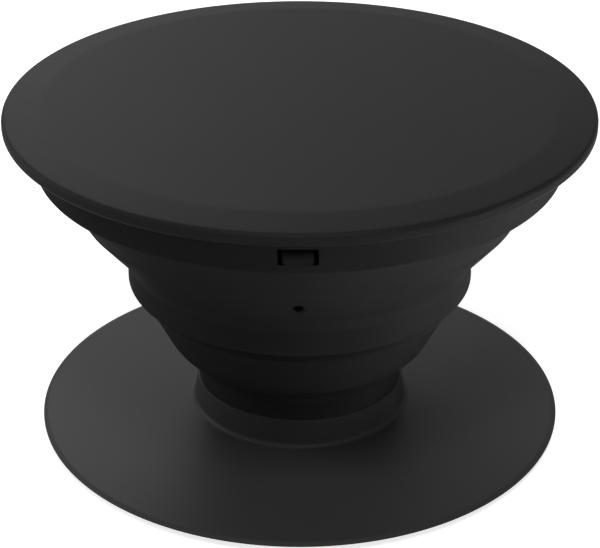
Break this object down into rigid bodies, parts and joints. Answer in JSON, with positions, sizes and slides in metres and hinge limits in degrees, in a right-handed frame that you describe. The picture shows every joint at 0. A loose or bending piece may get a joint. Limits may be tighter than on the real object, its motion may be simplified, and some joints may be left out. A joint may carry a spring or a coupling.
{
  "type": "collapsible phone grip",
  "caption": "Round button on a folding rubber bellows that stands on a stick-on disc base; pulled out it is a finger grip for the back of a phone, pushed in it lies flat.",
  "frame": {"origin": "centre of the stuck face of the adhesive pad, on the grip's axis", "axes": "+Z along the grip's axis from the stuck face to the button, -Y towards the vent and one window of the bellows"},
  "size_m": [0.0398, 0.0398, 0.024],
  "materials": {
    "adhesive_foam": "matte, tacky foam",
    "base_plastic": "satin black, finely textured",
    "bellows_rubber": "matte black, soft moulded",
    "button_plastic": "satin black, finely textured"
  },
  "bodies": {
    "base": {"adhesive_pad": "adhesive_foam", "base": "base_plastic", "accordion": "bellows_rubber"},
    "button": {"button": "button_plastic"}
  },
  "joints": [
    {"name": "collapse", "type": "slide", "parent": "base", "child": "button", "axis": [0, 0, 1], "range_m": [-0.017, 0], "deforming": ["accordion"]}
  ]
}
